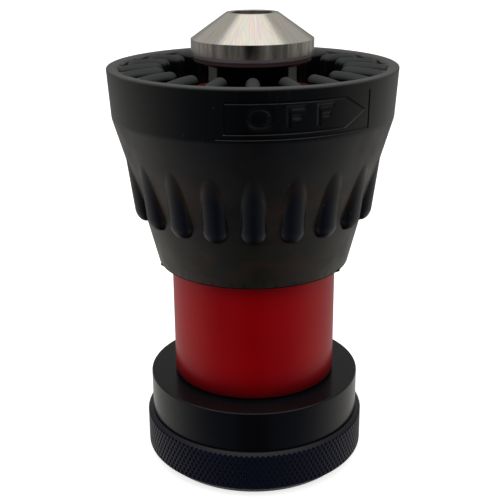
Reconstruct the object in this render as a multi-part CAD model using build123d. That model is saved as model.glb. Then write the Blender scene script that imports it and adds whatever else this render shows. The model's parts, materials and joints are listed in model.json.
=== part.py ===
from build123d import *
import math
import os

# Twist shut-off fog nozzle for a 1-1/2 in fire hose. Millimetres, +Z along the waterway towards the
# discharge end, origin on the axis at the coupling's inlet face. Turning the barrel anticlockwise, seen
# from the discharge end, carries it forward on its helical grooves until its lip meets the baffle's seal.

# Coupling
GRIP_R = 32.5
GRIP_TOP = 14.15
COLLAR_R = 30.92
COLLAR_TOP = 25.95
THREAD_MINOR_R = 23.6
THREAD_TOP = 10.9
GASKET_POCKET_R = 26.0
GASKET_POCKET_TOP = 14.3
GASKET_BORE_R = 20.6

# Swivel: the body's tail turns in the coupling on one row of 1/8 in balls
TAIL_R = 24.0
TAIL_BOTTOM = 14.35
TAIL_TOP = 25.8
TAIL_GAP = 0.08
RACE_Z = 20.6
BALL_R = 1.5875
BALL_GAP = 0.05
BALL_COUNT = 40
RACE_SCREW_R = 2.0
O_RING_WIRE_R = 0.85
SWIVEL_O_RING_Z = 16.8

# Body and waterway
BODY_R = 20.75
BODY_TOP = 98.0
INLET_R = 19.0
WATERWAY_R = 16.5
SPIDER_SEAT_R = 18.5
SPIDER_SEAT_Z = 88.0
SPIDER_TOP = 95.0
SNAP_RING_T = 1.2
LOWER_O_RING_Z = 80.5
UPPER_O_RING_Z = 84.5

# Barrel travel
TRAVEL = 9.0
TURN_DEG = 180.0
LEAD = TRAVEL * 360.0 / TURN_DEG
CAM_Z = 66.0
CAM_COUNT = 3
CAM_PIN_R = 1.5
CAM_GROOVE_W = 3.5
CAM_GROOVE_FLOOR_R = 18.75

# Barrel
BARREL_R = 23.66
BARREL_BORE_R = 20.83
BARREL_BOTTOM = 26.3
BARREL_TOP = 108.2
LIP_TOP = 108.8
LIP_R = 17.4
LIP_BORE_R = 15.2
THROAT_BOTTOM = 101.0
THROAT_TOP = 106.6
GUIDE_Z = 31.0
GUIDE_H = 6.0
GUIDE_R = 22.0

# Bumper
SKIRT_Z = 61.07
SKIRT_R = 27.21
RIB_BASE_Z = 75.8
RIB_BASE_R = 30.93
BAND_BOTTOM_Z = 103.2
BAND_BOTTOM_R = 38.87
RIM_Z = 116.5
RIM_R = 39.64
RIM_INNER_R = 36.2
BELL_FLOOR_Z = 107.0
SNAP_GROOVE_Z = 99.0
SNAP_GROOVE_H = 1.6
SNAP_GROOVE_DEPTH = 0.9
RIB_COUNT = 20
RIB_ROUND_R = 3.5
RIB_BALL_Z = 78.5
RIB_CREST_R = 34.17
RIB_SLOPE = 0.137
RIB_END_Z = 96.0
TOOTH_COUNT = 20
TOOTH_W = 3.7
TOOTH_INNER_R = 24.5
TOOTH_TOP = 116.8

# Stem and baffle
STEM_R = 12.0
STEM_TOP = 117.0
STEM_BOTTOM = 78.5
FLARE_BOTTOM = 97.5
FLARE_TOP = 105.0
TAPPED_HOLE_Z = 101.0
ROD_R = 5.0
HUB_R = 7.5
HUB_TOP = 96.0
SEAL_BOTTOM = LIP_TOP + TRAVEL + 0.05
SEAL_TOP = 118.85
SEAL_R = 16.0
SEAL_BORE_R = 8.0
RETAINER_R = 14.5
BAFFLE_R = 16.73
BAFFLE_LIP_BOTTOM = 119.75
BAFFLE_UNDERSIDE_R = 15.95
BAFFLE_LIP_TOP = 123.49
BAFFLE_TOP = 130.27
BAFFLE_TOP_R = 7.1
BAFFLE_HOLE_R = 5.5
COUNTERBORE_Z = 122.3
SCREW_R = 3.0
SCREW_GAP = 0.2


def turned(points, radii=None):
    """Solid of revolution about +Z from a closed outline of (radius, height) points."""
    corners = [(r, 0, z) for r, z in points]
    outline = FilletPolyline(*corners, radius=radii, close=True) if radii else Polyline(*corners, close=True)
    return revolve(make_face(outline), Axis.Z)


def tube(outer_r, inner_r, bottom, top):
    """Plain ring between two heights."""
    return turned([(inner_r, bottom), (outer_r, bottom), (outer_r, top), (inner_r, top)])


def disc(radius, bottom, top):
    """Plain cylinder on the axis between two heights."""
    return Pos(0, 0, bottom) * Cylinder(radius, top - bottom, align=(Align.CENTER, Align.CENTER, Align.MIN))


def radial_pin(radius, inner, outer, angle, height):
    """Cylinder that lies along a radius, from one distance from the axis to another."""
    pin = Rot(0, 90, 0) * Cylinder(radius, outer - inner, align=(Align.CENTER, Align.CENTER, Align.MIN))
    return Rot(0, 0, angle) * Pos(inner, 0, height) * pin


def o_ring(outer_r, height):
    """O-ring that touches a bore of the given radius."""
    return Pos(0, 0, height) * Torus(outer_r - O_RING_WIRE_R, O_RING_WIRE_R)


def o_ring_groove(surface_r, height):
    """Cutter for the groove that an O-ring of the shared wire size sits in."""
    half = O_RING_WIRE_R + 0.2
    return tube(surface_r + 1, surface_r - 2 * O_RING_WIRE_R - 0.02, height - half, height + half)


def socket_hex(across_flats, bottom, depth):
    """Hexagonal socket cutter along +Z."""
    hexagon = RegularPolygon(across_flats / 2, 6, major_radius=False)
    return Pos(0, 0, bottom) * extrude(hexagon, depth)


def race():
    """Torus that the balls roll in, cut half into the tail and half into the coupling."""
    return Pos(0, 0, RACE_Z) * Torus(TAIL_R + TAIL_GAP / 2, BALL_R + BALL_GAP)


def swivel_coupling():
    outline = [
        (THREAD_MINOR_R + 1.9, 0), (29.42, 0), (GRIP_R, 2.95), (GRIP_R, GRIP_TOP - 0.7),
        (GRIP_R - 0.7, GRIP_TOP), (COLLAR_R, GRIP_TOP), (COLLAR_R, COLLAR_TOP - 0.5),
        (COLLAR_R - 0.5, COLLAR_TOP), (TAIL_R + TAIL_GAP, COLLAR_TOP),
        (TAIL_R + TAIL_GAP, GASKET_POCKET_TOP), (GASKET_POCKET_R, GASKET_POCKET_TOP),
        (GASKET_POCKET_R, THREAD_TOP), (THREAD_MINOR_R, THREAD_TOP), (THREAD_MINOR_R, 1.1),
    ]
    shell = turned(outline) - race()
    return shell - radial_pin(RACE_SCREW_R, TAIL_R + 0.5, GRIP_R, 90, RACE_Z)


def race_screw():
    screw = radial_pin(RACE_SCREW_R, TAIL_R + BALL_R + 0.3, COLLAR_R - 0.6, 90, RACE_Z)
    socket = Rot(0, 90, 0) * extrude(RegularPolygon(1.0, 6, major_radius=False), 3)
    return screw - Rot(0, 0, 90) * Pos(COLLAR_R - 2.6, 0, RACE_Z) * socket


def swivel_balls():
    centre_r = TAIL_R + TAIL_GAP / 2
    places = [Rot(0, 0, 360 * i / BALL_COUNT) * Pos(centre_r, 0, RACE_Z) for i in range(BALL_COUNT)]
    return Compound([place * Sphere(BALL_R) for place in places])


def hose_gasket():
    return tube(GASKET_POCKET_R - 0.1, GASKET_BORE_R, THREAD_TOP + 0.1, GASKET_POCKET_TOP)


def cam_groove(angle):
    """Right-hand helical slot that one cam screw follows, with round ends."""
    middle_r = (CAM_GROOVE_FLOOR_R + BODY_R + 1) / 2
    depth = BODY_R + 1 - CAM_GROOVE_FLOOR_R
    path = Pos(0, 0, CAM_Z) * Helix(LEAD, TRAVEL, middle_r)
    section = Plane(origin=path @ 0, x_dir=(1, 0, 0), z_dir=path % 0) * Rectangle(depth, CAM_GROOVE_W)
    slot = sweep(section, path, is_frenet=True)
    for turn, rise in ((0, 0), (TURN_DEG, TRAVEL)):
        slot += radial_pin(CAM_GROOVE_W / 2, CAM_GROOVE_FLOOR_R, BODY_R + 1, turn, CAM_Z + rise)
    return Rot(0, 0, angle) * slot


def nozzle_body():
    outline = [
        (INLET_R, TAIL_BOTTOM), (TAIL_R, TAIL_BOTTOM), (TAIL_R, TAIL_TOP), (BODY_R, TAIL_TOP),
        (BODY_R, BODY_TOP - 0.8), (BODY_R - 0.8, BODY_TOP), (SPIDER_SEAT_R, BODY_TOP),
        (SPIDER_SEAT_R, SPIDER_SEAT_Z), (WATERWAY_R, SPIDER_SEAT_Z), (WATERWAY_R, TAIL_TOP),
    ]
    body = turned(outline) - race()
    body -= o_ring_groove(TAIL_R + TAIL_GAP - 0.05, SWIVEL_O_RING_Z)
    for height in (LOWER_O_RING_Z, UPPER_O_RING_Z):
        body -= o_ring_groove(BARREL_BORE_R - 0.05, height)
    for i in range(CAM_COUNT):
        body -= cam_groove(360 * i / CAM_COUNT)
    snap_groove = tube(SPIDER_SEAT_R + 0.9, SPIDER_SEAT_R - 1, SPIDER_TOP, SPIDER_TOP + SNAP_RING_T)
    return body - snap_groove


def guide_ring():
    ring = tube(GUIDE_R, BARREL_BORE_R - 0.03, GUIDE_Z, GUIDE_Z + GUIDE_H)
    split = Rot(0, 0, 90) * Pos(GUIDE_R, 0, GUIDE_Z + GUIDE_H / 2) * Rot(30, 0, 0) * Box(6, 0.8, 12)
    return ring - split


def stem_spider():
    rim = tube(SPIDER_SEAT_R, WATERWAY_R, SPIDER_SEAT_Z, SPIDER_TOP)
    hub = tube(HUB_R, ROD_R, SPIDER_SEAT_Z, HUB_TOP)
    reach = (HUB_R + WATERWAY_R) / 2
    vane = Pos(reach, 0, (SPIDER_SEAT_Z + SPIDER_TOP) / 2)
    vane *= Box(WATERWAY_R - HUB_R + 1.5, 3.0, SPIDER_TOP - SPIDER_SEAT_Z)
    spider = rim + hub
    for i in range(3):
        spider += Rot(0, 0, 120 * i + 30) * vane
    return spider


def spider_snap_ring():
    ring = tube(SPIDER_SEAT_R + 0.8, SPIDER_SEAT_R - 1.4, SPIDER_TOP, SPIDER_TOP + SNAP_RING_T)
    return ring - Pos(0, SPIDER_SEAT_R, SPIDER_TOP) * Box(7, 6, 4)


def stem():
    outline = [
        (SCREW_R, TAPPED_HOLE_Z), (SCREW_R, STEM_TOP), (STEM_R, STEM_TOP), (STEM_R, FLARE_TOP),
        (HUB_R, FLARE_BOTTOM), (HUB_R, HUB_TOP), (ROD_R, HUB_TOP), (ROD_R, STEM_BOTTOM + 0.8),
        (ROD_R - 0.8, STEM_BOTTOM), (0, STEM_BOTTOM), (0, TAPPED_HOLE_Z),
    ]
    return turned(outline)


def stem_washer():
    return tube(9.0, ROD_R, SPIDER_SEAT_Z - 1.2, SPIDER_SEAT_Z)


def stem_nut():
    nut = socket_hex(16, SPIDER_SEAT_Z - 7.2, 6.0)
    return nut - disc(ROD_R, STEM_BOTTOM, SPIDER_SEAT_Z)


def baffle_seal():
    return tube(SEAL_R, SEAL_BORE_R, SEAL_BOTTOM, SEAL_TOP)


def seal_retainer():
    outline = [
        (SCREW_R + SCREW_GAP, STEM_TOP), (RETAINER_R - 0.4, STEM_TOP), (RETAINER_R, STEM_TOP + 0.4),
        (RETAINER_R, SEAL_BOTTOM), (SEAL_BORE_R, SEAL_BOTTOM), (SEAL_BORE_R, SEAL_TOP),
        (SCREW_R + SCREW_GAP, SEAL_TOP),
    ]
    return turned(outline)


def baffle():
    outline = [
        (SCREW_R + SCREW_GAP, SEAL_TOP), (BAFFLE_UNDERSIDE_R, SEAL_TOP), (BAFFLE_R, BAFFLE_LIP_BOTTOM),
        (BAFFLE_R, BAFFLE_LIP_TOP), (BAFFLE_TOP_R, BAFFLE_TOP), (BAFFLE_HOLE_R, BAFFLE_TOP),
        (BAFFLE_HOLE_R, COUNTERBORE_Z), (SCREW_R + SCREW_GAP, COUNTERBORE_Z),
    ]
    return turned(outline)


def screw_washer():
    return tube(5.1, SCREW_R + SCREW_GAP, COUNTERBORE_Z, COUNTERBORE_Z + 1.0)


def baffle_screw():
    head = disc(4.9, COUNTERBORE_Z + 1.0, COUNTERBORE_Z + 4.8)
    screw = head + disc(SCREW_R, TAPPED_HOLE_Z + 1, COUNTERBORE_Z + 1.0)
    return screw - socket_hex(5.0, COUNTERBORE_Z + 2.6, 3)


def snap_groove(outer_r, inner_r):
    """Cutter for the groove, half in the barrel and half in the bumper, that the snap ring fills."""
    return tube(outer_r, inner_r, SNAP_GROOVE_Z, SNAP_GROOVE_Z + SNAP_GROOVE_H)


def barrel():
    outline = [
        (BARREL_BORE_R + 0.6, BARREL_BOTTOM), (BARREL_R - 0.5, BARREL_BOTTOM),
        (BARREL_R, BARREL_BOTTOM + 0.5), (BARREL_R, BARREL_TOP - 0.4), (BARREL_R - 0.4, BARREL_TOP),
        (LIP_R, BARREL_TOP), (LIP_R - 0.3, LIP_TOP), (LIP_BORE_R, LIP_TOP), (LIP_BORE_R, THROAT_TOP),
        (BARREL_BORE_R, THROAT_BOTTOM), (BARREL_BORE_R, BARREL_BOTTOM + 0.6),
    ]
    shell = turned(outline)
    shell -= tube(GUIDE_R + 0.05, BARREL_BORE_R - 1, GUIDE_Z - 0.05, GUIDE_Z + GUIDE_H + 0.05)
    shell -= snap_groove(BARREL_R + 1, BARREL_R - SNAP_GROOVE_DEPTH)
    for i in range(CAM_COUNT):
        shell -= radial_pin(2.5, BARREL_BORE_R - 1, BARREL_R + 1, 360 * i / CAM_COUNT, CAM_Z)
    return shell


def cam_screws():
    screws = []
    for i in range(CAM_COUNT):
        angle = 360 * i / CAM_COUNT
        thread = radial_pin(2.5, BARREL_BORE_R + 0.3, BARREL_R - 0.2, angle, CAM_Z)
        dog = radial_pin(CAM_PIN_R, CAM_GROOVE_FLOOR_R + 0.3, BARREL_BORE_R + 0.4, angle, CAM_Z)
        screws.append(thread + dog)
    return Compound([screw.solid() for screw in screws])


def bumper_snap_ring():
    side = SNAP_GROOVE_DEPTH - 0.05
    bottom, top = SNAP_GROOVE_Z + 0.05, SNAP_GROOVE_Z + SNAP_GROOVE_H - 0.05
    ring = tube(BARREL_R + side, BARREL_R - side, bottom, top)
    return ring - Pos(0, BARREL_R, SNAP_GROOVE_Z) * Box(5, 6, 6)


def rib():
    """Rib at the front: a round bar with a ball end below, that leans less than the wall and sinks into it."""
    axis_r = RIB_CREST_R - RIB_ROUND_R
    lean = math.degrees(math.atan(RIB_SLOPE))
    bar = Rot(lean, 0, 0) * Cylinder(
        RIB_ROUND_R, RIB_END_Z - RIB_BALL_Z, align=(Align.CENTER, Align.CENTER, Align.MIN))
    return Pos(0, -axis_r, RIB_BALL_Z) * (bar + Sphere(RIB_ROUND_R))


def tooth():
    """Fog tooth at the front: a radial finger with a round top and a round inner end."""
    half = TOOTH_W / 2
    outer = RIM_INNER_R + 0.3
    length = outer - TOOTH_INNER_R - half
    upright = Pos(0, -(outer - length / 2), (BELL_FLOOR_Z - 1 + TOOTH_TOP - half) / 2)
    upright *= Box(TOOTH_W, length, TOOTH_TOP - half - BELL_FLOOR_Z + 1)
    nose = Pos(0, -(TOOTH_INNER_R + half), 0) * disc(half, BELL_FLOOR_Z - 1, TOOTH_TOP - half)
    crest = Pos(0, -(TOOTH_INNER_R + half), TOOTH_TOP - half) * Rot(90, 0, 0)
    crest *= Cylinder(half, length, align=(Align.CENTER, Align.CENTER, Align.MIN))
    cap = Pos(0, -(TOOTH_INNER_R + half), TOOTH_TOP - half) * Sphere(half)
    return upright + nose + crest + cap


def bumper():
    inner = BARREL_R + 0.04
    outline = [
        (inner, SKIRT_Z + 3.5), (SKIRT_R - 1.8, SKIRT_Z), (SKIRT_R, SKIRT_Z), (RIB_BASE_R, RIB_BASE_Z),
        (BAND_BOTTOM_R, BAND_BOTTOM_Z), (RIM_R, RIM_Z - 0.9), (RIM_R - 0.4, RIM_Z), (RIM_INNER_R, RIM_Z),
        (RIM_INNER_R - 0.6, BELL_FLOOR_Z), (inner + 0.4, BELL_FLOOR_Z), (inner, BELL_FLOOR_Z - 1.0),
    ]
    shell = turned(outline, [0, 0.3, 0.3, 0, 0, 0.3, 0, 0.8, 0, 0, 0])
    step = 360 / RIB_COUNT
    shell += [Rot(0, 0, step * i) * rib() for i in range(RIB_COUNT)]
    step = 360 / TOOTH_COUNT
    shell += [Rot(0, 0, step * i) * tooth() for i in range(TOOTH_COUNT)]
    return shell - snap_groove(BARREL_R + 1.0, inner - 1)


PARTS = {
    "swivel_coupling": swivel_coupling, "race_screw": race_screw, "swivel_balls": swivel_balls,
    "hose_gasket": hose_gasket, "nozzle_body": nozzle_body, "guide_ring": guide_ring,
    "stem_spider": stem_spider, "spider_snap_ring": spider_snap_ring, "stem": stem,
    "stem_washer": stem_washer, "stem_nut": stem_nut, "baffle_seal": baffle_seal,
    "seal_retainer": seal_retainer, "baffle": baffle, "screw_washer": screw_washer,
    "baffle_screw": baffle_screw, "barrel": barrel, "cam_screws": cam_screws,
    "bumper_snap_ring": bumper_snap_ring, "bumper": bumper,
    "swivel_o_ring": lambda: o_ring(TAIL_R + TAIL_GAP - 0.05, SWIVEL_O_RING_Z),
    "lower_barrel_o_ring": lambda: o_ring(BARREL_BORE_R - 0.05, LOWER_O_RING_Z),
    "upper_barrel_o_ring": lambda: o_ring(BARREL_BORE_R - 0.05, UPPER_O_RING_Z),
}

os.makedirs("parts", exist_ok=True)
for name, make in PARTS.items():
    export_step(make(), f"parts/{name}.step")
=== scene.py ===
"""Looks of a twist shut-off fog nozzle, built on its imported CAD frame. Shapes are in millimetres."""
import json
import math

import bmesh
import bpy
import numpy as np
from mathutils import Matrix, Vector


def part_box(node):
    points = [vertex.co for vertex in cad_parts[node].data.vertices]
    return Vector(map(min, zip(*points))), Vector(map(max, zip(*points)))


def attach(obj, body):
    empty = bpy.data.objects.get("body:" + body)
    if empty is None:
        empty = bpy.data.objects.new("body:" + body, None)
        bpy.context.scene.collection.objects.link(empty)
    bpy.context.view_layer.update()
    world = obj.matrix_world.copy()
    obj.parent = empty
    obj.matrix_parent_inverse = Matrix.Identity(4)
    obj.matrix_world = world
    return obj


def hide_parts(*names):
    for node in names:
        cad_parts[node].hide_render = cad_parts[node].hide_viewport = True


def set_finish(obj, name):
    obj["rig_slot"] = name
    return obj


MM = 0.001
TAU = 2 * math.pi

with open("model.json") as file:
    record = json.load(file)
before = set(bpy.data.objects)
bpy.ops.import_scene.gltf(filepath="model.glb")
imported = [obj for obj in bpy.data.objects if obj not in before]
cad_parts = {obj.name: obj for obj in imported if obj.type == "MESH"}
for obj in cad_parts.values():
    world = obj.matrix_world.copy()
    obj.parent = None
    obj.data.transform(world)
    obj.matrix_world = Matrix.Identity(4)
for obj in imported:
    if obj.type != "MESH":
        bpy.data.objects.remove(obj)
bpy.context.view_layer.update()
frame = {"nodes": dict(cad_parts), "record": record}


def reach(node):
    """Outer radius, bottom and top of a CAD node, in millimetres."""
    low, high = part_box(node)
    return high.x / MM, low.z / MM, high.z / MM


# ---------------------------------------------------------------- driving sizes

BARREL_R = reach("barrel")[0]
BARREL_TOP = 108.2

GRIP_R, _, COLLAR_TOP = reach("swivel_coupling")
GRIP_TOP = 14.15
GRIP_CHAMFER = 1.05
COLLAR_R = 30.92
COLLAR_MOUTH_R = BARREL_R - 1.2
COLLAR_LIP = 0.1
FOOT_R = 29.42
FOOT_Z = 2.95
TAIL_BORE_R = 24.08
THREAD_MINOR_R = 23.6
THREAD_MAJOR_R = 25.4
THREAD_PITCH = 25.4 / 9
THREAD_BOTTOM = 1.0
THREAD_TOP = 10.9
POCKET_R = 26.0
POCKET_TOP = 14.3
COLUMNS = 192
ARC_STEPS = 4
SHARP_DEG = 38

KNURL_PITCHES = 136
KNURL_RISE = 2.6
KNURL_DEPTH = 0.5
KNURL_RIDGE = 0.3

RIM_R, SKIRT_Z, TOOTH_TOP = reach("bumper")
RIM_Z = 116.5
RIM_OUTER_ROUND = 0.4
RIM_INNER_ROUND = 1.3
BORE_R = BARREL_R + 0.04
FLOOR_BORE_R = BORE_R + 0.03
FLOOR_Z = 107.0
WALL_R = 36.25
WALL_FOOT_R = 35.6
WALL_FOOT_ROUND = 0.6

SKIRT_R = 27.21
SKIRT_SLOPE = 0.2526
SKIRT_TOP = 75.8
SKIRT_BULGE = 0.07
SKIRT_ROUND = 0.12
LIP_H = 0.3
FLASH_AT = (-73, 60)
FLASH_OUT = 0.4
CONE_R = 31.7
CONE_SLOPE = 0.2905
BAND_BOTTOM = 103.2
BAND_BOTTOM_R = 38.87
BAND_SLOPE = 0.0621
BAND_TOP = RIM_Z - 0.9

RIB_COUNT = 20
RIB_COLUMNS = 40
RIB_ROUND_R = 3.5
RIB_BALL_Z = 78.5
RIB_CREST_R = 34.17
RIB_CREST_SLOPE = 0.127
RIB_MIDDLE_R = 33.0
RIB_HALF = 3.45
RIB_DOME = 2.4

TOOTH_COUNT = 20
TOOTH_HALF = 1.85
TOOTH_FILLET = 0.5
TOOTH_NOSE_R = 24.5
TOOTH_DROOP = 0.75
TOOTH_FLARE = 0.9
FLARE_RUN = 1.3
FLANK_POINTS = 12
CORNER_POINTS = 4
BORE_POINTS = 12

MARK_DEPTH = 0.22
MARK_WIDTH = 0.6
LETTER_WIDTH = 1.2
LETTER_MIDDLE_Z = 109.4

BAFFLE_R, BAFFLE_BOTTOM, BAFFLE_TOP = reach("baffle")
BAFFLE_TOP_R = 7.1
BAFFLE_HOLE_R = 5.5
BAFFLE_BORE_R = 3.2
COUNTERBORE_Z = 122.3
LIP_BOTTOM = 119.75
LIP_TOP = 123.49
UNDERCUT = 0.78


# ---------------------------------------------------------------- mesh tools

class Surface:
    """Points and faces of one piece, gathered ring by ring."""

    def __init__(self):
        self.points = []
        self.faces = []

    def ring(self, points):
        """Adds points and gives their numbers."""
        first = len(self.points)
        self.points.extend([tuple(p) for p in points])
        return list(range(first, len(self.points)))

    def turns(self, ring):
        """Angles round the axis along a closed ring, growing by one whole turn."""
        spots = np.array([self.points[i] for i in ring + ring[:1]])
        angle = np.unwrap(np.arctan2(spots[:, 0], -spots[:, 1]))
        angle -= TAU * round(angle[0] / TAU)
        return angle

    def bridge(self, a, b):
        """Faces between two closed rings that start at about the same angle and may differ in count."""
        if len(a) == len(b):
            for i in range(len(a)):
                j = (i + 1) % len(a)
                self.faces.append((a[i], a[j], b[j], b[i]))
            return
        turn_a, turn_b = self.turns(a), self.turns(b)
        i = j = 0
        while i < len(a) or j < len(b):
            if j == len(b) or (i < len(a) and turn_a[i + 1] <= turn_b[j + 1]):
                self.faces.append((a[i], a[(i + 1) % len(a)], b[j % len(b)]))
                i += 1
            else:
                self.faces.append((a[i % len(a)], b[(j + 1) % len(b)], b[j]))
                j += 1

    def stack(self, rings, closed=False):
        """Bridges each ring to the next, and the last to the first when closed."""
        for a, b in zip(rings, rings[1:]):
            self.bridge(a, b)
        if closed:
            self.bridge(rings[-1], rings[0])

    def sheet(self, rows):
        """Faces over a grid of point numbers that doesn't close on itself."""
        for a, b in zip(rows, rows[1:]):
            for i in range(len(a) - 1):
                self.faces.append((a[i], a[i + 1], b[i + 1], b[i]))

    def mesh(self, name, weld=True):
        """The faces as a mesh that faces outward, with doubled points welded."""
        mesh = bpy.data.meshes.new(name)
        mesh.from_pydata((np.array(self.points, float) * MM).tolist(), [], self.faces)
        shape = bmesh.new()
        shape.from_mesh(mesh)
        if weld:
            bmesh.ops.remove_doubles(shape, verts=shape.verts, dist=2e-6)
            bmesh.ops.dissolve_degenerate(shape, edges=shape.edges, dist=1e-7)
        bmesh.ops.recalc_face_normals(shape, faces=shape.faces)
        shape.to_mesh(mesh)
        shape.free()
        return mesh

    def make(self, name, body, slot, *replaced):
        """The piece itself, riding on its body in place of CAD nodes."""
        piece = put(name, self.mesh(name))
        smooth(piece)
        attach(piece, body)
        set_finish(piece, slot)
        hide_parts(*replaced)
        return piece


def put(name, data):
    """New object in the scene."""
    thing = bpy.data.objects.new(name, data)
    bpy.context.scene.collection.objects.link(thing)
    return thing


def smooth(piece):
    """Smooth shading that keeps sharp edges and flat faces flat."""
    piece.data.shade_smooth()
    piece.data.set_sharp_from_angle(angle=math.radians(SHARP_DEG))
    weigh = piece.modifiers.new("weighted_normals", "WEIGHTED_NORMAL")
    weigh.keep_sharp = True


def circle(radius, height, columns):
    """Level ring of points, from the front (-Y) towards +X."""
    turn = np.arange(columns) * TAU / columns
    return np.column_stack([radius * np.sin(turn), -radius * np.cos(turn), np.full(columns, height)])


def polar(angles, radii, heights):
    """Points from angles (0 at the front), radii and heights."""
    heights = np.broadcast_to(heights, np.shape(angles))
    return np.column_stack([radii * np.sin(angles), -radii * np.cos(angles), heights])


def rounded(corners):
    """Closed outline of (radius, height, rounding) corners, with an arc at each rounded one."""
    outline = []
    count = len(corners)
    for i, (r, z, rounding) in enumerate(corners):
        here = np.array([r, z])
        if rounding == 0:
            outline.append(here)
            continue
        back = np.array(corners[i - 1][:2]) - here
        ahead = np.array(corners[(i + 1) % count][:2]) - here
        back /= np.linalg.norm(back)
        ahead /= np.linalg.norm(ahead)
        half = math.acos(np.clip(back @ ahead, -1, 1)) / 2
        start, end = here + back * rounding / math.tan(half), here + ahead * rounding / math.tan(half)
        centre = here + (back + ahead) / np.linalg.norm(back + ahead) * rounding / math.sin(half)
        for k in range(ARC_STEPS + 1):
            chord = start + (end - start) * k / ARC_STEPS - centre
            outline.append(centre + chord / np.linalg.norm(chord) * rounding)
    return outline


def soft_max(a, b, blend):
    """Larger of two heights, with a fillet of about the given size where they meet."""
    gap = np.clip(0.5 + 0.5 * (a - b) / blend, 0, 1)
    return b + (a - b) * gap + blend * gap * (1 - gap)


# ---------------------------------------------------------------- coupling

def knurl_depth(angles, height):
    """Depth of the diamond pits: zero on two crossing sets of ridges, deepest between them."""
    across = angles * KNURL_PITCHES / TAU
    along = height / KNURL_RISE
    depth = 1.0
    for lines in (across + along, across - along):
        off_ridge = 2 * np.abs(lines - np.round(lines))
        depth = np.minimum(depth, np.clip((off_ridge - KNURL_RIDGE) / (1 - KNURL_RIDGE), 0, 1))
    return KNURL_DEPTH * depth


def grip_rings(surface):
    """Knurled grip: the pits are cut from the full cylinder, so they run out in the chamfers."""
    columns = KNURL_PITCHES * 8
    angles = np.arange(columns) * TAU / columns
    step = KNURL_RISE / 16
    heights = np.arange(FOOT_Z - 0.6, GRIP_TOP - 0.05, step)
    rings = []
    for height in heights:
        foot = GRIP_R - max(FOOT_Z - height, 0) * (GRIP_R - FOOT_R) / FOOT_Z
        head = GRIP_R - max(height - GRIP_TOP + GRIP_CHAMFER, 0)
        radii = np.minimum(min(foot, head), GRIP_R - knurl_depth(angles, height))
        rings.append(surface.ring(polar(angles, radii, height)))
    return rings


def thread_rings(surface):
    """Female hose thread: rounded V grooves on a right-hand helix that fade out at both ends."""
    angles = np.arange(COLUMNS) * TAU / COLUMNS
    rings = []
    for height in np.arange(THREAD_BOTTOM, THREAD_TOP, THREAD_PITCH / 14):
        phase = (height - THREAD_PITCH * angles / TAU) / THREAD_PITCH
        groove = 0.5 - 0.5 * np.cos(TAU * phase)
        fade = np.clip(min(height - 0.6, THREAD_TOP + 0.4 - height) / 1.2, 0, 1)
        depth = (THREAD_MAJOR_R - THREAD_MINOR_R) * np.clip(1.25 * groove - 0.12, 0, 1) * fade
        rings.append(surface.ring(polar(angles, THREAD_MINOR_R + depth, height)))
    return rings


def coupling():
    """Female swivel coupling: knurled grip, smooth collar, hose thread and gasket pocket."""
    surface = Surface()
    collar = rounded([
        (COLLAR_R, GRIP_TOP, 0.25), (COLLAR_R, COLLAR_TOP, 0.42), (COLLAR_MOUTH_R, COLLAR_TOP, 0),
        (COLLAR_MOUTH_R, COLLAR_TOP - COLLAR_LIP, 0), (TAIL_BORE_R, COLLAR_TOP - COLLAR_LIP, 0),
        (TAIL_BORE_R, POCKET_TOP, 0), (POCKET_R, POCKET_TOP, 0), (POCKET_R, THREAD_TOP, 0.3),
    ])
    foot = [(THREAD_MINOR_R + 1.9, 0), (FOOT_R - 0.25, 0), (FOOT_R + 0.1, 0.12), (FOOT_R + 0.9, 0.9)]
    shoulder = [(GRIP_R - GRIP_CHAMFER - 0.1, GRIP_TOP)]
    rings = [surface.ring(circle(r, z, COLUMNS)) for r, z in foot]
    rings += grip_rings(surface)
    rings += [surface.ring(circle(r, z, COLUMNS)) for r, z in shoulder + collar]
    rings += thread_rings(surface)[::-1]
    surface.stack(rings, closed=True)
    return surface.make("coupling_grip", "coupling", "black_anodised", "swivel_coupling")


# ---------------------------------------------------------------- bumper

def cone_r(height):
    """Plain outer radius of the bumper: one long cone that turns up into the band."""
    cone = CONE_R + CONE_SLOPE * (height - RIB_BALL_Z)
    skirt = SKIRT_R + SKIRT_SLOPE * (height - SKIRT_Z)
    band = RIM_R + BAND_SLOPE * (height - BAND_TOP)
    lower = np.where(height < SKIRT_TOP, skirt, cone)
    return -soft_max(-lower, -np.broadcast_to(band, np.shape(height)), 0.12)


def rib_columns():
    """Angles of the outer columns, closer together along the flanks of the ribs."""
    half_pitch = math.pi / RIB_COUNT
    fine = np.linspace(-half_pitch, half_pitch, 400)
    offset = np.abs(fine) * RIB_MIDDLE_R
    density = np.cumsum(1 + 2.5 * np.exp(-((offset - RIB_HALF + 0.15) / 0.5) ** 2))
    density = (density - density[0]) / (density[-1] - density[0])
    one = np.interp(np.arange(RIB_COLUMNS) / RIB_COLUMNS, density, fine)
    return np.concatenate([one + TAU * i / RIB_COUNT for i in range(RIB_COUNT)])


def outer_r(angles, height):
    """Radius of the bumper with its ribs: round bars that sink into the cone towards the rim."""
    base = cone_r(np.full(len(angles), height))
    pitch = TAU / RIB_COUNT
    off = (angles + pitch / 2) % pitch - pitch / 2
    side = RIB_MIDDLE_R * np.sin(off) / RIB_HALF
    drop = max(RIB_BALL_Z - height, 0) / RIB_ROUND_R
    core = RIB_CREST_R + RIB_CREST_SLOPE * (height - RIB_BALL_Z) - RIB_DOME
    inside = 1 - side ** 2 - drop ** 2
    bar = core + RIB_DOME * np.sign(inside) * np.sqrt(np.abs(inside))
    return soft_max(bar, base, 0.06)


def flash(angles):
    """Extra radius of the skirt's lip where moulding flash was left: whole within 1 degree, gone by 3."""
    extra = np.zeros(len(angles))
    for spot in FLASH_AT:
        off = np.abs((angles - math.radians(spot) + math.pi) % TAU - math.pi)
        extra += FLASH_OUT * np.clip(1.5 - off / math.radians(2), 0, 1)
    return extra


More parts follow.
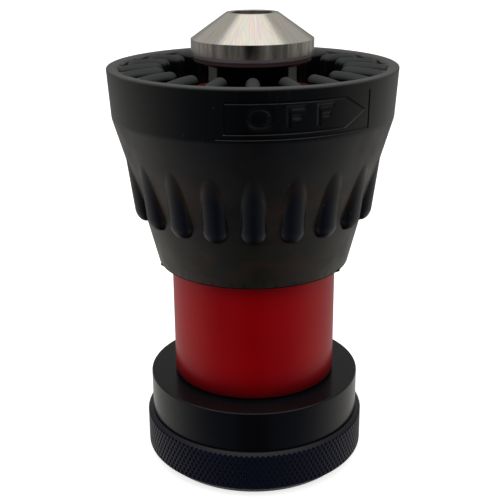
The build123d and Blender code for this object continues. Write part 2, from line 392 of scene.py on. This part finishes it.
def outer_rings(surface, angles):
    """From the thin lip under the skirt up to the rim's outer rounding."""
    lip = SKIRT_R - 0.1 + flash(angles)
    under = [(SKIRT_R - 0.6, SKIRT_Z), (lip - 0.08, SKIRT_Z), (lip, SKIRT_Z + 0.08), (lip, SKIRT_Z + LIP_H)]
    for turn in np.linspace(0, 1.4, 4):
        radius = SKIRT_R + SKIRT_BULGE - SKIRT_ROUND * (1 - math.sin(turn))
        under.append((radius, SKIRT_Z + LIP_H + 0.02 + SKIRT_ROUND * (1 - math.cos(turn))))
    rings = [surface.ring(polar(angles, radius, height)) for radius, height in under]
    heights = np.concatenate([
        np.linspace(SKIRT_Z + LIP_H + SKIRT_ROUND + 0.05, 74.6, 6), np.arange(74.9, 77.6, 0.15),
        np.arange(77.7, 97.5, 0.5), np.linspace(98.0, BAND_BOTTOM - 0.7, 3),
        np.linspace(BAND_BOTTOM - 0.4, BAND_BOTTOM + 0.5, 7),
        np.linspace(BAND_BOTTOM + 1, RIM_Z - RIM_OUTER_ROUND, 4),
    ])
    for height in heights:
        rings.append(surface.ring(polar(angles, outer_r(angles, height), height)))
    edge = float(cone_r(np.array([RIM_Z - RIM_OUTER_ROUND]))[0])
    for turn in np.linspace(0, math.pi / 2, 8)[1:]:
        radius = edge - RIM_OUTER_ROUND * (1 - math.cos(turn))
        rings.append(surface.ring(polar(angles, radius, RIM_Z - RIM_OUTER_ROUND * (1 - math.sin(turn)))))
    return rings


def bell_wall():
    """Outline of the bell's inside from its floor to the rim, as lengths, radii and heights."""
    foot_r, foot_z = WALL_FOOT_R - WALL_FOOT_ROUND, FLOOR_Z + WALL_FOOT_ROUND
    foot = [(foot_r + WALL_FOOT_ROUND * math.sin(a), foot_z - WALL_FOOT_ROUND * math.cos(a))
            for a in np.linspace(0, math.pi / 2, 7)]
    centre_r, centre_z = WALL_R + RIM_INNER_ROUND, RIM_Z - RIM_INNER_ROUND
    head = [(centre_r - RIM_INNER_ROUND * math.cos(a), centre_z + RIM_INNER_ROUND * math.sin(a))
            for a in np.linspace(0, math.pi / 2, 9)]
    line = np.array(foot + head)
    length = np.concatenate([[0], np.cumsum(np.linalg.norm(np.diff(line, axis=0), axis=1))])
    return length, line[:, 0], line[:, 1]


def tooth_levels():
    """Half-width and height of a tooth's section, from its fillet on the floor to its crest."""
    base = TOOTH_HALF + 0.1
    levels = [(base + TOOTH_FILLET * (1 - math.sin(a)), FLOOR_Z + TOOTH_FILLET * (1 - math.cos(a)))
              for a in np.linspace(0, math.pi / 2, 4)]
    levels += [(TOOTH_HALF + 0.07, FLOOR_Z + 3), (TOOTH_HALF + 0.03, FLOOR_Z + 6)]
    crest_z = TOOTH_TOP - TOOTH_HALF
    levels += [(TOOTH_HALF * math.cos(a), crest_z + TOOTH_HALF * math.sin(a))
               for a in np.linspace(0, math.pi / 2, 8)]
    return levels


def sector_edge(centre, direction):
    """Distance from a tooth's nose centre along a direction to the edge of its sector."""
    half = math.pi / TOOTH_COUNT
    rho, across = direction
    best = math.inf
    nearest = centre * rho
    inside = nearest ** 2 - centre ** 2 + FLOOR_BORE_R ** 2
    if inside >= 0 and -nearest - math.sqrt(inside) > 0:
        best = -nearest - math.sqrt(inside)
    crossing = abs(across) * math.cos(half) - rho * math.sin(half)
    if crossing > 1e-9:
        best = min(best, centre * math.sin(half) / crossing)
    return best


def tooth_rows():
    """Rows of (radial, across) points and heights of one tooth's sector, from its edge to its crest.
    Each row runs in along one flank, round the nose and out along the other flank."""
    _, wall_r, wall_z = bell_wall()
    centre = TOOTH_NOSE_R + TOOTH_HALF
    half = math.pi / TOOTH_COUNT
    corner = math.atan2(FLOOR_BORE_R * math.sin(half), centre - FLOOR_BORE_R * math.cos(half))
    nose = np.concatenate([
        np.linspace(math.pi / 2, corner, CORNER_POINTS + 1)[:-1],
        np.linspace(corner, -corner, BORE_POINTS + 1)[:-1],
        np.linspace(-corner, -math.pi / 2, CORNER_POINTS + 1),
    ])
    shares = np.linspace(1, 0, FLANK_POINTS + 1)[:-1] ** 0.8

    def row(width, height, edge=False):
        drop = (height - FLOOR_Z) / (TOOTH_TOP - FLOOR_Z) * TOOTH_DROOP
        foot = np.interp(height - drop, wall_z, wall_r)
        flare_out = TOOTH_FLARE * min(width / TOOTH_HALF, 1)
        at_wall = math.sqrt(foot ** 2 - (width + flare_out) ** 2)
        flank = []
        for share in shares:
            rho = centre + ((foot if edge else at_wall) - centre) * share
            tall = height - drop * ((rho - centre) / (WALL_R - centre)) ** 2
            near = np.clip((rho - at_wall + FLARE_RUN) / FLARE_RUN, 0, 1)
            flare = flare_out * (1 - math.sqrt(1 - near ** 2))
            if edge:
                flank.append((rho * math.cos(half), rho * math.sin(half), height))
            else:
                flank.append((rho, width + flare, tall))
        tip = []
        for turn in nose:
            direction = (-math.cos(turn), math.sin(turn))
            far = sector_edge(centre, direction) if edge else width
            tip.append((centre + far * direction[0], far * direction[1], height))
        mirrored = [(rho, -across, tall) for rho, across, tall in flank[::-1]]
        return np.array(flank + tip + mirrored)

    rim = row(0, FLOOR_Z, edge=True)
    levels = [row(width, height) for width, height in tooth_levels()]
    floor = [rim + (levels[0] - rim) * share for share in (0, 0.35, 0.7)]
    return floor + levels


def place(rows, index):
    """Turns sector points (radial, across, height) to tooth number index."""
    turn = TAU * index / TOOTH_COUNT
    rho, across, height = np.moveaxis(np.asarray(rows), -1, 0)
    x = rho * math.sin(turn) - across * math.cos(turn)
    y = -rho * math.cos(turn) - across * math.sin(turn)
    return np.stack([x, y, height], axis=-1)


def bell(surface):
    """Teeth, floor and wall of the bell. Gives the rim's inner ring and the bore's upper ring."""
    length, wall_r, wall_z = bell_wall()
    rows = tooth_rows()
    arch = np.array([row[0] for row in rows] + [row[-1] for row in rows[-2::-1]])
    arch_angle = np.arctan2(-arch[:, 1], arch[:, 0])
    arch_length = np.interp(arch[:, 2], wall_z, length)
    even = np.linspace(arch_angle[0], arch_angle[-1], len(arch))
    wall = [arch]
    for share in np.linspace(0, 1, 8)[1:]:
        along = arch_length + (length[-1] - arch_length) * share
        radius, height = np.interp(along, length, wall_r), np.interp(along, length, wall_z)
        angle = arch_angle + (even - arch_angle) * min(1, 1.4 * share)
        wall.append(np.column_stack([radius * np.cos(angle), -radius * np.sin(angle), height]))
    bore_first = FLANK_POINTS + CORNER_POINTS
    bore = rows[0][bore_first:bore_first + BORE_POINTS]
    rim_ring, bore_ring = [], []
    for index in range(TOOTH_COUNT):
        surface.sheet([surface.ring(place(row, index)) for row in rows])
        surface.sheet([surface.ring(place(row, index)) for row in wall])
        rim_ring.extend(place(wall[-1][:-1], index))
        bore_ring.extend(place(bore, index))
    middle = (len(arch) - 1) // 2
    return surface.ring(np.roll(rim_ring, -middle, axis=0)), np.roll(bore_ring, -BORE_POINTS // 2, axis=0)


def bumper():
    """Moulded rubber bell: ribs outside, teeth inside, bored to sit on the barrel."""
    surface = Surface()
    outside = outer_rings(surface, rib_columns())
    rim_ring, bore_ring = bell(surface)
    turn = np.arctan2(bore_ring[:, 0], -bore_ring[:, 1])
    bore = ((BORE_R, FLOOR_Z - 0.6), (BORE_R, 90), (BORE_R, SKIRT_Z + 3.5), (SKIRT_R - 1.8, SKIRT_Z))
    bore_rings = [surface.ring(polar(turn, radius, height)) for radius, height in bore]
    surface.stack([surface.ring(bore_ring)] + bore_rings + outside + [rim_ring])
    piece = surface.make("bumper_moulding", "barrel", "bumper_rubber", "bumper")
    piece.modifiers.clear()
    engrave(piece)
    smooth(piece)
    return piece


# ---------------------------------------------------------------- marking on the band

def ribbon(line, width, closed):
    """Left and right edge of a mitred line of the given width, cut into short steps."""
    line = np.array(line, float)
    last = len(line) if closed else len(line) - 1
    steps = np.array([line[(i + 1) % len(line)] - line[i] for i in range(last)])
    steps /= np.linalg.norm(steps, axis=1)[:, None]
    normals = np.column_stack([-steps[:, 1], steps[:, 0]])
    edges = []
    for side in (width / 2, -width / 2):
        corners = []
        for i, corner in enumerate(line):
            before = normals[i - 1] if closed or i > 0 else normals[0]
            after = normals[i] if i < last else normals[-1]
            corners.append(corner + (before + after) / (1 + before @ after) * side)
        edges.append(np.array(corners))
    left, right = [], []
    for i in range(last):
        j = (i + 1) % len(line)
        count = max(1, int(np.linalg.norm(line[j] - line[i])))
        for share in np.arange(count) / count:
            left.append(edges[0][i] + (edges[0][j] - edges[0][i]) * share)
            right.append(edges[1][i] + (edges[1][j] - edges[1][i]) * share)
    if not closed:
        left.append(edges[0][-1])
        right.append(edges[1][-1])
    return np.array(left), np.array(right)


def on_band(spots, stand):
    """Points (along, height) laid on the band at a distance from its surface."""
    along, height = spots[:, 0], spots[:, 1]
    radius = BAND_BOTTOM_R + BAND_SLOPE * (height - BAND_BOTTOM)
    return polar(along / radius, radius + stand, height)


def groove_cutter(surface, line, width, closed):
    """Solid that cuts a groove with sloping sides along a line."""
    left, right = ribbon(line, width, closed)
    floor_left, floor_right = ribbon(line, width * 0.3, closed)
    high_left, high_right = left + (left - floor_left), right + (right - floor_right)
    low, high = -MARK_DEPTH, MARK_DEPTH
    strips = ((floor_left, low), (high_left, high), (high_right, high), (floor_right, low))
    rows = [surface.ring(on_band(edge, stand)) for edge, stand in strips]
    if closed:
        surface.stack(rows, closed=True)
        return
    surface.sheet(rows + rows[:1])
    surface.faces.append(tuple(row[0] for row in rows))
    surface.faces.append(tuple(row[-1] for row in rows))


def marking_cutter():
    """Arrow frame that points the way to turn, a bar at the stop, and the word OFF."""
    surface = Surface()
    arrow = [(-7.1, 112.9), (-7.1, 105.4), (24.0, 105.7), (30.3, 109.3), (24.0, 113.1)]
    groove_cutter(surface, arrow, MARK_WIDTH, True)
    groove_cutter(surface, [(-9.3, 104.1), (32.3, 104.4), (32.3, 114.1)], MARK_WIDTH, False)
    turn = np.arange(28) * TAU / 28
    letter_o = np.column_stack([1.6 + 2.9 * np.sin(turn), LETTER_MIDDLE_Z + 2.2 * np.cos(turn)])
    groove_cutter(surface, letter_o, LETTER_WIDTH, True)
    for left in (8.6, 16.3):
        post = [(left, 106.8), (left, 111.6), (left + 4.2, 111.6)]
        arm = [(left + LETTER_WIDTH / 2 + 0.15, LETTER_MIDDLE_Z), (left + 3.2, LETTER_MIDDLE_Z)]
        groove_cutter(surface, post, LETTER_WIDTH, False)
        groove_cutter(surface, arm, LETTER_WIDTH, False)
    return put("marking_cutter", surface.mesh("marking_cutter", weld=False))


def engrave(piece):
    """Cuts the marking into the piece and keeps the result as its mesh."""
    cutter = marking_cutter()
    cut = piece.modifiers.new("marking", "BOOLEAN")
    cut.operation = "DIFFERENCE"
    cut.solver = "EXACT"
    cut.object = cutter
    graph = bpy.context.evaluated_depsgraph_get()
    carved = bpy.data.meshes.new_from_object(piece.evaluated_get(graph))
    piece.modifiers.clear()
    piece.data = carved
    bpy.data.objects.remove(cutter)


# ---------------------------------------------------------------- baffle

def baffle():
    """Turned head: a cone over a short lip, bored and counterbored for its screw."""
    outline = rounded([
        (BAFFLE_BORE_R, BAFFLE_BOTTOM, 0), (BAFFLE_R - UNDERCUT, BAFFLE_BOTTOM, 0.06),
        (BAFFLE_R, LIP_BOTTOM, 0.08), (BAFFLE_R, LIP_TOP, 0.06),
        (BAFFLE_TOP_R, BAFFLE_TOP, 0.15), (BAFFLE_HOLE_R, BAFFLE_TOP, 0.12),
        (BAFFLE_HOLE_R, COUNTERBORE_Z, 0), (BAFFLE_BORE_R, COUNTERBORE_Z, 0),
    ])
    surface = Surface()
    surface.stack([surface.ring(circle(r, z, 256)) for r, z in outline], closed=True)
    return surface.make("baffle_head", "nozzle", "turned_stainless", "baffle")


# ---------------------------------------------------------------- materials

def principled(made):
    return made.node_tree.nodes["Principled BSDF"]


def shader(name, **values):
    """New material with constants set on its Principled shader. Underscores stand for spaces."""
    made = bpy.data.materials.new(name)
    made.use_nodes = True
    for socket, value in values.items():
        principled(made).inputs[socket.replace("_", " ")].default_value = value
    return made


def node(made, kind, inputs=None, **settings):
    """Adds a node to a material or world, sets its properties, and links or sets its inputs."""
    new = made.node_tree.nodes.new(kind)
    for name, value in settings.items():
        setattr(new, name, value)
    for socket, value in (inputs or {}).items():
        if isinstance(value, bpy.types.NodeSocket):
            made.node_tree.links.new(value, new.inputs[socket])
        else:
            new.inputs[socket].default_value = value
    return new


def feed(made, socket, value):
    """Links a value to one of the Principled shader's sockets."""
    made.node_tree.links.new(value, principled(made).inputs[socket])


def place_in(made, scale=(1, 1, 1)):
    """Object coordinates in metres, stretched."""
    where = node(made, "ShaderNodeTexCoord").outputs["Object"]
    return node(made, "ShaderNodeMapping", {"Vector": where, "Scale": scale}).outputs["Vector"]


def noise(made, vector, scale, detail, rough=0.5):
    sockets = {"Vector": vector, "Scale": scale, "Detail": detail, "Roughness": rough}
    return node(made, "ShaderNodeTexNoise", sockets).outputs["Fac"]


def spread(made, value, low, high, start, end):
    """Maps start..end onto low..high."""
    sockets = {"Value": value, "From Min": start, "From Max": end, "To Min": low, "To Max": high}
    return node(made, "ShaderNodeMapRange", sockets).outputs["Result"]


def above(made, length, start, end):
    """Share that grows from 0 to 1 while a length goes from start to end, in millimetres."""
    return spread(made, length, 0, 1, start * MM, end * MM)


def below(made, length, start, end):
    """Share that falls from 1 to 0 while a length goes from start to end, in millimetres."""
    return spread(made, length, 1, 0, start * MM, end * MM)


def blend(made, share, a, b):
    """Colour between a and b, which are fixed or come from another node."""
    first, second = [c if isinstance(c, bpy.types.NodeSocket) else (*c, 1) for c in (a, b)]
    return node(made, "ShaderNodeMix", {0: share, 6: first, 7: second}, data_type="RGBA").outputs[2]


def fed(made, socket):
    """What already feeds one of the Principled shader's sockets."""
    return principled(made).inputs[socket].links[0].from_socket


def tint_where(made, share, colour):
    """Turns the base colour towards another one where the share is high."""
    feed(made, "Base Color", blend(made, share, fed(made, "Base Color"), colour))


def dull_where(made, share, rough):
    """Turns the roughness towards another one where the share is high."""
    mixed = node(made, "ShaderNodeMix", {0: share, 2: fed(made, "Roughness"), 3: rough}, data_type="FLOAT")
    feed(made, "Roughness", mixed.outputs[0])


def refinish(made, share, colour, rough):
    """Turns colour and roughness together."""
    tint_where(made, share, colour)
    dull_where(made, share, rough)


def combine(made, operation, a, b):
    return node(made, "ShaderNodeMath", {0: a, 1: b}, operation=operation).outputs[0]


def profile(made):
    """Radius and height of a point, in metres."""
    where = node(made, "ShaderNodeTexCoord").outputs["Object"]
    flat = node(made, "ShaderNodeVectorMath", {0: where, 1: (1, 1, 0)}, operation="MULTIPLY")
    radius = node(made, "ShaderNodeVectorMath", {0: flat.outputs["Vector"]}, operation="LENGTH")
    height = node(made, "ShaderNodeSeparateXYZ", {"Vector": where})
    return radius.outputs["Value"], height.outputs["Z"]


def relief(made, heights, distance, strength):
    """Bump from a height, in metres."""
    sockets = {"Height": heights, "Distance": distance, "Strength": strength}
    feed(made, "Normal", node(made, "ShaderNodeBump", sockets).outputs["Normal"])


def ring_noise(made, per_metre, detail=2.0):
    """Noise that only changes along a turned part's profile, as tool marks do."""
    radius, height = profile(made)
    along = combine(made, "SUBTRACT", height, radius)
    sockets = {"W": along, "Scale": per_metre, "Detail": detail, "Roughness": 0.6}
    return node(made, "ShaderNodeTexNoise", sockets, noise_dimensions="1D").outputs["Fac"]


def rubber(name, dark, light, rough):
    """Moulded rubber: fine mould grain, faint cloudy bloom and uneven gloss."""
    made = shader(name, Specular_IOR_Level=0.45)
    where = place_in(made)
    cloud = noise(made, where, 45, 4)
    grain = noise(made, where, 5200, 2, 0.6)
    feed(made, "Base Color", blend(made, spread(made, cloud, 0, 1, 0.35, 0.7), dark, light))
    feed(made, "Roughness", spread(made, noise(made, where, 160, 5), rough - 0.05, rough + 0.06, 0.3, 0.7))
    relief(made, grain, 0.00002, 0.35)
    return made


def bloom(made, height):
    """Brownish bloom, cloudy in strength and hue, that fades out towards the band."""
    cloud = noise(made, place_in(made, (1, 1, 1.6)), 38, 5, 0.6)
    share = combine(made, "MULTIPLY", spread(made, cloud, 0.1, 1, 0.35, 0.65), below(made, height, 80, 103))
    hue = spread(made, noise(made, place_in(made, (1, 1, 2.2)), 52, 4, 0.6), 0, 1, 0.44, 0.58)
    tint_where(made, share, blend(made, hue, (0.026, 0.0275, 0.014), (0.053, 0.027, 0.012)))


def rubbed_ribs(made, radius, height):
    """Bluish black where the ribs stand proud of the cone and are rubbed clean."""
    low, high = 77.0, 102.0
    cone_low, cone_high = (float(cone_r(z)) * MM for z in (low, high))
    cone = spread(made, height, cone_low, cone_high, low * MM, high * MM)
    foot = spread(made, height, 0.0075, 0, 0.062, low * MM)
    proud = combine(made, "ADD", combine(made, "SUBTRACT", radius, cone), foot)
    share = combine(made, "MULTIPLY", above(made, proud, 0.2, 1.0), above(made, height, 74.5, 75.5))
    tint_where(made, share, (0.0018, 0.0030, 0.0085))


def bumper_rubber():
    """Bloom in the valleys and on the skirt, clean ribs, a glossier band, paler bluish tooth crests, a
    painted highlight on the rim, painted shade on the lip under the skirt, and dust.
    """
    made = rubber("bumper_rubber", (0.0018, 0.0024, 0.0030), (0.0060, 0.0056, 0.0050), 0.41)
    radius, height = profile(made)
    bloom(made, height)
    rubbed_ribs(made, radius, height)
    # Painted shade: the lip under the skirt is painted near black and matt.
    lip_top = SKIRT_Z + LIP_H
    refinish(made, below(made, height, lip_top, lip_top + 0.06), (0.0003, 0.0003, 0.0003), 0.95)
    band = above(made, height, BAND_BOTTOM - 0.2, BAND_BOTTOM + 0.2)
    refinish(made, band, (0.0006, 0.0012, 0.0018), 0.31)
    inside, outside = below(made, radius, 36.0, 36.4), above(made, radius, 35.4, 36.0)
    crests = combine(made, "MULTIPLY", above(made, height, RIM_Z - 1.5, RIM_Z - 0.3), inside)
    refinish(made, crests, (0.013, 0.018, 0.021), 0.6)
    # Painted highlight: the rim's top is painted pale grey.
    rim = combine(made, "MULTIPLY", above(made, height, RIM_Z - 0.7, RIM_Z - 0.3), outside)
    refinish(made, rim, (0.066, 0.067, 0.067), 0.6)
    dust = spread(made, noise(made, place_in(made), 1900, 1), 0, 1, 0.785, 0.80)
    tint_where(made, dust, (0.12, 0.12, 0.11))
    return made


def anodised(name, dark, light, metallic, rough, coat=0.0, level=0.38):
    """Anodised aluminium: even colour over faint turning marks, a little cloudy in its gloss."""
    made = shader(name, Metallic=metallic, Specular_IOR_Level=level, Coat_Weight=coat, Coat_Roughness=0.3)
    where = place_in(made)
    cloud = noise(made, where, 60, 3)
    feed(made, "Base Color", blend(made, spread(made, cloud, 0, 1, 0.3, 0.7), dark, light))
    feed(made, "Roughness", spread(made, noise(made, where, 900, 4), rough - 0.04, rough + 0.04, 0.3, 0.7))
    relief(made, ring_noise(made, 9000), 0.00001, 0.15)
    return made


def coupling_finish():
    """Hard black anodising, bluish and duller over the knurl."""
    dark, light = (0.0036, 0.0036, 0.005), (0.0052, 0.0052, 0.007)
    made = anodised("black_anodised", dark, light, 0.0, 0.22, level=0.30)
    knurl = below(made, profile(made)[1], GRIP_TOP - 0.8, GRIP_TOP)
    refinish(made, knurl, (0.0012, 0.0028, 0.016), 0.36)
    return made


def collar_face():
    """The collar's flat top, less glossy than its side."""
    dark, light = (0.0045, 0.0055, 0.0075), (0.0060, 0.0070, 0.0090)
    return anodised("collar_face", dark, light, 0.0, 0.24, level=0.12)


def turned_steel(name, colour, rough, streak):
    """Stainless fresh from the lathe: fine rings that stretch each highlight across them, and
    streaks of colour where the rings split the light."""
    made = shader(name, Metallic=1.0, Anisotropic=streak, Anisotropic_Rotation=0.25)
    where = node(made, "ShaderNodeTexCoord").outputs["Object"]
    split = node(made, "ShaderNodeSeparateXYZ", {"Vector": where})
    around = combine(made, "ARCTAN2", split.outputs["X"], split.outputs["Y"])
    spot = node(made, "ShaderNodeCombineXYZ", {"X": around, "Y": split.outputs["Z"]})
    stretched = node(made, "ShaderNodeVectorMath", {0: spot.outputs[0], 1: (1, 9, 0)}, operation="MULTIPLY")
    fleck = node(made, "ShaderNodeTexNoise", {"Vector": stretched.outputs[0], "Scale": 42.0, "Detail": 4.0})
    hue = node(made, "ShaderNodeTexNoise", {"Vector": stretched.outputs[0], "Scale": 23.0, "Detail": 4.0})
    tint = node(made, "ShaderNodeMix", {0: 0.30, 6: (*colour, 1), 7: hue.outputs["Color"]}, data_type="RGBA")
    # Painted shade: below the lip's top edge the colour is scaled by 0.82 against 0.93 above, so the lip's
    # side is painted darker than the cone; the flecks on top are random tone.
    lip = spread(made, split.outputs["Z"], 0.82, 0.93, (LIP_TOP - 0.19) * MM, (LIP_TOP + 0.21) * MM)
    fleck_and_lip_shade = spread(made, fleck.outputs["Fac"], lip, 1.06, 0.3, 0.7)
    final = node(made, "ShaderNodeVectorMath", {0: tint.outputs[2], 3: fleck_and_lip_shade}, operation="SCALE")
    feed(made, "Base Color", final.outputs["Vector"])
    rings = ring_noise(made, 14000, 3)
    feed(made, "Roughness", spread(made, rings, rough - 0.03, rough + 0.05, 0.3, 0.7))
    feed(made, "Tangent", node(made, "ShaderNodeTangent", direction_type="RADIAL", axis="Z").outputs[0])
    relief(made, rings, 0.000004, 0.05)
    return made


def stem_steel():
    """Stainless, bright at the stem's two sides, with painted shade making its front and back dark."""
    made = turned_steel("stem_stainless", (0.42, 0.43, 0.44), 0.5, 0.0)
    where = node(made, "ShaderNodeTexCoord").outputs["Object"]
    across = node(made, "ShaderNodeSeparateXYZ", {"Vector": where}).outputs["X"]
    square = combine(made, "MULTIPLY", across, across)
    # Painted shade: within 9.3 mm of the middle across, the front and back are painted near black.
    dark = spread(made, square, 1, 0, (9.3 * MM) ** 2, (9.8 * MM) ** 2)
    tint_where(made, dark, (0.003, 0.003, 0.003))
    return made


def baffle_steel():
    """Turned stainless with a bead-blasted chamfer round its underside, painted a paler, purplish grey as
    painted light.
    """
    made = turned_steel("turned_stainless", (0.66, 0.615, 0.545), 0.14, 0.75)
    # Painted light: the chamfer is painted a paler, purplish grey; its higher roughness is the blasting.
    chamfer = below(made, profile(made)[1], LIP_BOTTOM - 0.05, LIP_BOTTOM + 0.05)
    refinish(made, chamfer, (0.60, 0.56, 0.62), 0.7)
    return made


def red_barrel():
    """Blasted and anodised tube, with painted shade from an occlusion node darkening the nook at its foot,
    and painted shade darkening its turned end face.
    """
    made = anodised("red_anodised", (0.70, 0.0, 0.006), (0.78, 0.0, 0.009), 1.0, 0.78, coat=0.62)
    principled(made).inputs["Specular Tint"].default_value = (0.1, 0.5, 0.62, 1)
    height = profile(made)[1]
    # Painted shade: an occlusion node darkens the base colour in the nook at the tube's foot, below 55 mm.
    foot_occlusion = node(made, "ShaderNodeAmbientOcclusion", {"Distance": 0.016}, samples=12)
    foot_painted_shade = spread(made, foot_occlusion.outputs["AO"], 1, 0, 0.50, 0.90)
    tint_where(made, combine(made, "MULTIPLY", foot_painted_shade, below(made, height, 45, 55)), (0.03, 0.0, 0.001))
    # Painted shade: the end face deep in the bell is painted a dark, brownish red.
    tint_where(made, above(made, height, BARREL_TOP - 0.6, BARREL_TOP - 0.2), (0.16, 0.030, 0.026))
    return made


def plain_metal(name, colour, rough):
    """Small steel part: fine scratches and slight tarnish."""
    made = shader(name, Metallic=1.0)
    where = place_in(made)
    dark = tuple(c * 0.7 for c in colour)
    feed(made, "Base Color", blend(made, noise(made, where, 300, 5), dark, colour))
    feed(made, "Roughness", spread(made, noise(made, where, 1500, 4), rough - 0.06, rough + 0.1, 0.3, 0.7))
    relief(made, noise(made, place_in(made, (1, 1, 12)), 900, 4), 0.00001, 0.2)
    return made


def make_materials():
    """One material for each of the record's slots."""
    return {
        "bumper_rubber": bumper_rubber(),
        "black_rubber": rubber("black_rubber", (0.012, 0.012, 0.012), (0.022, 0.022, 0.022), 0.45),
        "seal_rubber": rubber("seal_rubber", (0.036, 0.017, 0.019), (0.055, 0.026, 0.029), 0.5),
        "black_anodised": coupling_finish(),
        "grey_anodised": anodised("grey_anodised", (0.10, 0.10, 0.105), (0.15, 0.15, 0.155), 0.8, 0.42),
        "red_anodised": red_barrel(),
        "turned_stainless": baffle_steel(),
        "steel": plain_metal("steel", (0.55, 0.55, 0.54), 0.3),
        "white_plastic": rubber("white_plastic", (0.72, 0.72, 0.69), (0.80, 0.80, 0.77), 0.45),
    }


def face_collar(piece):
    """Gives the flat top of the coupling's collar its own material."""
    piece.data.materials.append(collar_face())
    for face in piece.data.polygons:
        if face.normal.z > 0.9 and face.center.z > (COLLAR_TOP - 0.05) * MM:
            face.material_index = 1


def finish_all(pieces):
    """Gives every new piece and every CAD node that still shows the material of its slot."""
    materials = make_materials()
    slots = {part["node"]: part["material_slot"] for part in frame["record"]["subparts"]}
    for piece in pieces:
        piece.data.materials.clear()
        piece.data.materials.append(materials[piece["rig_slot"]])
        if piece.name == "coupling_grip":
            face_collar(piece)
    for name, piece in frame["nodes"].items():
        piece.data.materials.clear()
        piece.data.materials.append(materials[slots[name]])
    stem = frame["nodes"]["stem"]
    stem.data.materials[0] = stem_steel()


# ---------------------------------------------------------------- stage, light and camera

def floor():
    """Pale floor that lets the underside be seen from below."""
    half = 4.0
    corners = [(-half, -half, 0), (half, -half, 0), (half, half, 0), (-half, half, 0)]
    mesh = bpy.data.meshes.new("floor")
    mesh.from_pydata(corners, [], [(0, 1, 2, 3)])
    plane = put("floor", mesh)
    plane.location.z = -0.0002
    made = shader("pale_floor", Base_Color=(0.9, 0.9, 0.9, 1), Roughness=0.9, Specular_IOR_Level=0.0,
                  Emission_Color=(1, 1, 1, 1), Emission_Strength=0.72)
    clear = node(made, "ShaderNodeBsdfTransparent").outputs[0]
    from_below = node(made, "ShaderNodeNewGeometry").outputs["Backfacing"]
    sides = {0: from_below, 1: principled(made).outputs[0], 2: clear}
    one_sided = node(made, "ShaderNodeMixShader", sides).outputs[0]
    made.node_tree.links.new(one_sided, made.node_tree.nodes["Material Output"].inputs["Surface"])
    mesh.materials.append(made)
    plane.visible_diffuse = False
    plane.visible_glossy = False


def softbox():
    """Warm rectangular lamp overhead, turned a little, that the baffle's cone mirrors."""
    light = bpy.data.lights.new("overhead", "AREA")
    light.shape = "RECTANGLE"
    light.size, light.size_y = 0.80, 0.45
    light.energy = 0.85
    light.color = (1, 0.97, 0.93)
    lamp = put("overhead", light)
    lamp.location = (0, 0.045, 0.727)
    lamp.rotation_euler.z = math.radians(-3)
    lamp.visible_camera = False


def steps(world, value, low, high, start, end):
    """Smooth step: start..end of the value goes to low..high."""
    sockets = {"Value": value, "From Min": start, "From Max": end, "To Min": low, "To Max": high}
    return node(world, "ShaderNodeMapRange", sockets, interpolation_type="SMOOTHSTEP").outputs["Result"]


def tent_light(world, across, depth, height):
    """Pale walls behind and beside, a pale table below, dark in front and darkest straight ahead."""
    table = steps(world, height, 0.62, 0.25, -0.5, -0.05)
    back = steps(world, height, table, 0.5, 0.1, 0.5)
    behind = steps(world, height, 0.03, back, -0.9, -0.7)
    near = steps(world, height, 0.20, 0.02, -0.8, -0.3)
    level = steps(world, height, near, 0.32, -0.15, 0.25)
    aside = steps(world, combine(world, "MULTIPLY", across, across), 0.15, 1.15, 0.002, 0.12)
    front = steps(world, height, combine(world, "MULTIPLY", level, aside), 1.3, 0.35, 0.75)
    return steps(world, depth, front, behind, -0.8, 0.35)


def tent_bands(world, across, depth, height):
    """Uneven upright bands near the horizon, strongest in front, for the polished metal to mirror."""
    around = combine(world, "ARCTAN2", across, combine(world, "MULTIPLY", depth, -1))
    sockets = {"W": around, "Scale": 3.2, "Detail": 3.0}
    bands = node(world, "ShaderNodeTexNoise", sockets, noise_dimensions="1D").outputs["Fac"]
    swing = steps(world, bands, -0.35, steps(world, depth, 2.4, 0.3, -0.8, -0.2), 0.35, 0.65)
    rising = steps(world, height, 0, 1, -0.35, -0.15)
    return combine(world, "MULTIPLY", swing, steps(world, height, rising, 0, 0.0, 0.2))


def tent_colour(world, depth, height):
    """Bluish low in front, slightly warm everywhere else."""
    low_front = steps(world, height, 0, 1, -0.45, -0.15)
    share = steps(world, depth, low_front, 1, -0.9, 0.0)
    return blend(world, share, (0.75, 0.85, 1.25), (1.0, 0.985, 0.94))


def surroundings():
    """Light tent round the nozzle. The camera itself sees white."""
    world = bpy.data.worlds.new("tent")
    bpy.context.scene.world = world
    world.use_nodes = True
    world.node_tree.nodes.clear()
    direction = node(world, "ShaderNodeTexCoord").outputs["Generated"]
    split = node(world, "ShaderNodeSeparateXYZ", {0: direction})
    across, depth, height = (split.outputs[axis] for axis in "XYZ")
    light = tent_light(world, across, depth, height)
    bands = tent_bands(world, across, depth, height)
    banded = node(world, "ShaderNodeMath", {0: bands, 1: light, 2: light}, operation="MULTIPLY_ADD")
    colour = tent_colour(world, depth, height)
    room = node(world, "ShaderNodeBackground", {"Strength": banded.outputs[0], "Color": colour})
    plain = node(world, "ShaderNodeBackground", {"Strength": 1.0, "Color": (1, 1, 1, 1)})
    seen = node(world, "ShaderNodeLightPath").outputs["Is Camera Ray"]
    mixed = node(world, "ShaderNodeMixShader", {0: seen, 1: room.outputs[0], 2: plain.outputs[0]})
    node(world, "ShaderNodeOutputWorld", {"Surface": mixed.outputs[0]})


def camera():
    """A phone-height view from the front, looking down on the nozzle."""
    pitch_down, roll = 0.3407, math.radians(0.35)
    lens = bpy.data.cameras.new("view")
    lens.lens = 67.26
    lens.sensor_width = 36
    lens.clip_start = 0.01
    eye = put("view", lens)
    eye.location = (-0.00047, -0.25703, 0.15374)
    eye.rotation_euler = (math.pi / 2 - pitch_down, roll, 0)
    bpy.context.scene.camera = eye


def view_settings():
    """Plain sRGB colours."""
    view = bpy.context.scene.view_settings
    view.view_transform = "Standard"
    view.look = "None"


pieces = [coupling(), bumper(), baffle()]
finish_all(pieces)
floor()
surroundings()
softbox()
camera()
view_settings()
